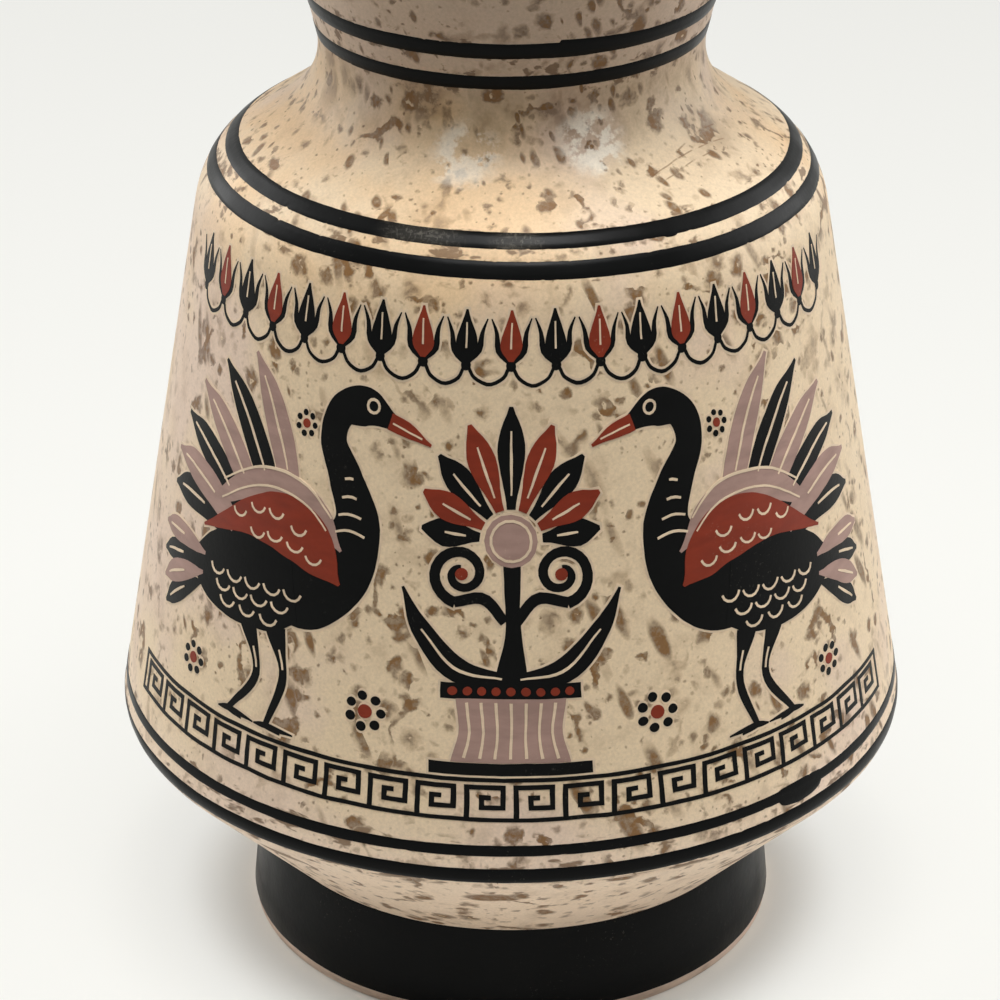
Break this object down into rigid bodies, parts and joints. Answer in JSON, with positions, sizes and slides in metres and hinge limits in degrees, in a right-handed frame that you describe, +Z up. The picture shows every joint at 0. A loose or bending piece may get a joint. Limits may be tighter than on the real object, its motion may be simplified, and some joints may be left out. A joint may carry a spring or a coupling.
{
  "type": "terracotta vase",
  "caption": "Terracotta vase with a low foot, a carinated conical belly, a sloping shoulder and a flared mouth, banded in black on a mottled cream ground.",
  "frame": {"origin": "centre of the foot's resting plane, on the vase's axis", "axes": "+Z up along the vase's axis, -Y towards the decorated front"},
  "size_m": [0.1462, 0.1462, 0.22],
  "materials": {
    "mottled_ground": "satin cream to pinkish beige ground with brown mottling",
    "bare_clay": "matte fired clay, pinkish buff, unpainted",
    "black_paint": "satin black, slightly uneven along its edges",
    "brick_red_paint": "satin brick red with thin cream lines",
    "mauve_paint": "matte dusty mauve with thin cream lines"
  },
  "bodies": {
    "root": {"foot_ring": "bare_clay", "foot_paint": "black_paint", "foot_slip": "bare_clay", "carination_slip": "bare_clay", "shoulder_slip": "bare_clay", "neck_slip": "bare_clay", "lower_bowl": "mottled_ground", "belly_wall": "mottled_ground", "shoulder": "mottled_ground", "neck": "mottled_ground", "lower_band_wide": "black_paint", "lower_band_narrow": "black_paint", "shoulder_band_wide": "black_paint", "shoulder_band_narrow": "black_paint", "neck_band_narrow": "black_paint", "neck_band_wide": "black_paint"}
  },
  "joints": []
}
